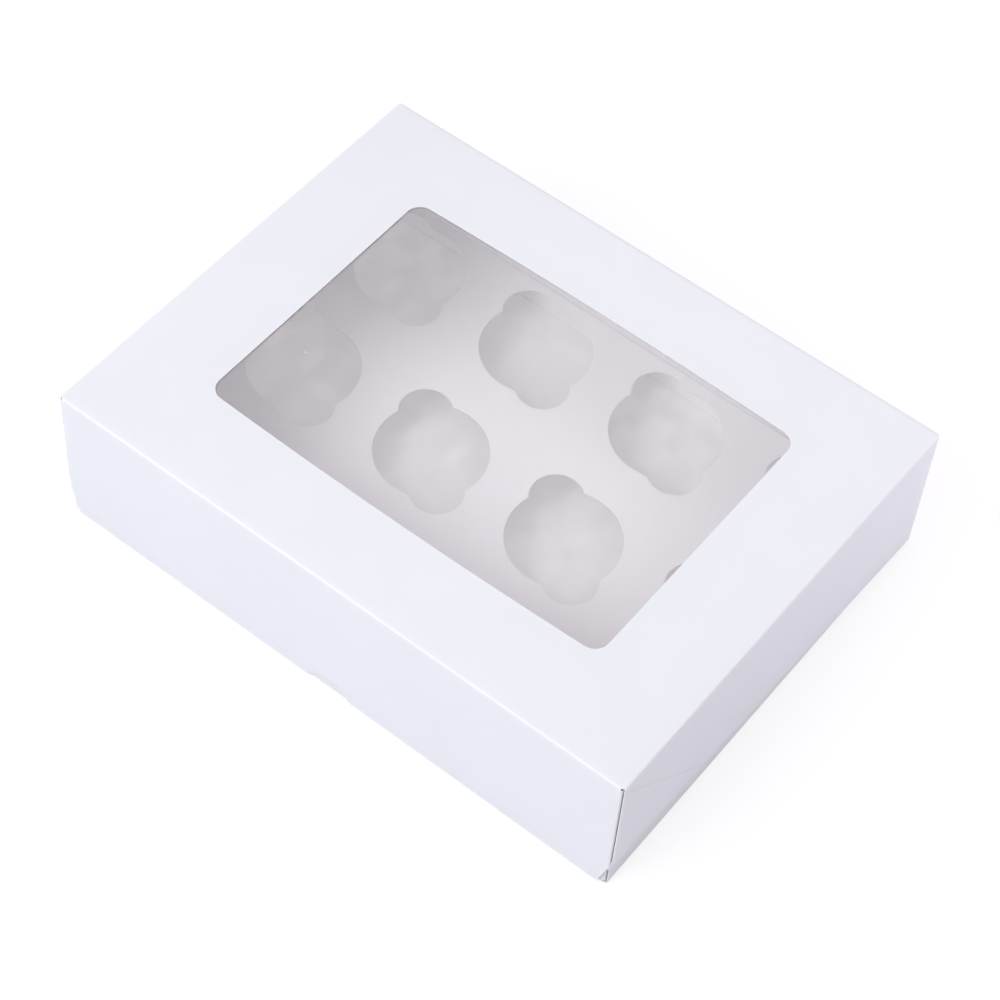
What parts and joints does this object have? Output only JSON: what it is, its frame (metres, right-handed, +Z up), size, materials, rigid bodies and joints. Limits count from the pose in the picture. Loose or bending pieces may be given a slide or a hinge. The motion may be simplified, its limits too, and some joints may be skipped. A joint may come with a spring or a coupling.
{
  "type": "cupcake box",
  "caption": "White folded card bakery box with a hinged lid, a clear film window and a raised insert of holes for cakes.",
  "frame": {"origin": "centre of the closed box's bounding box, on the surface that it stands on", "axes": "+X along the long side, +Y from the front wall to the hinged back wall, +Z up"},
  "size_m": [0.33, 0.252, 0.087],
  "materials": {
    "white_card": "satin coated white card",
    "insert_card": "satin coated white card",
    "clear_film": "clear glossy film"
  },
  "bodies": {
    "base": {"tray": "white_card", "cake_insert": "insert_card"},
    "lid": {"lid": "white_card", "window_film": "clear_film"}
  },
  "joints": [
    {"name": "lid_hinge", "type": "hinge", "parent": "base", "child": "lid", "pos_m": [0, 0.12575, 0.0865], "axis": [-1, 0, 0], "range_deg": [0, 180]}
  ]
}
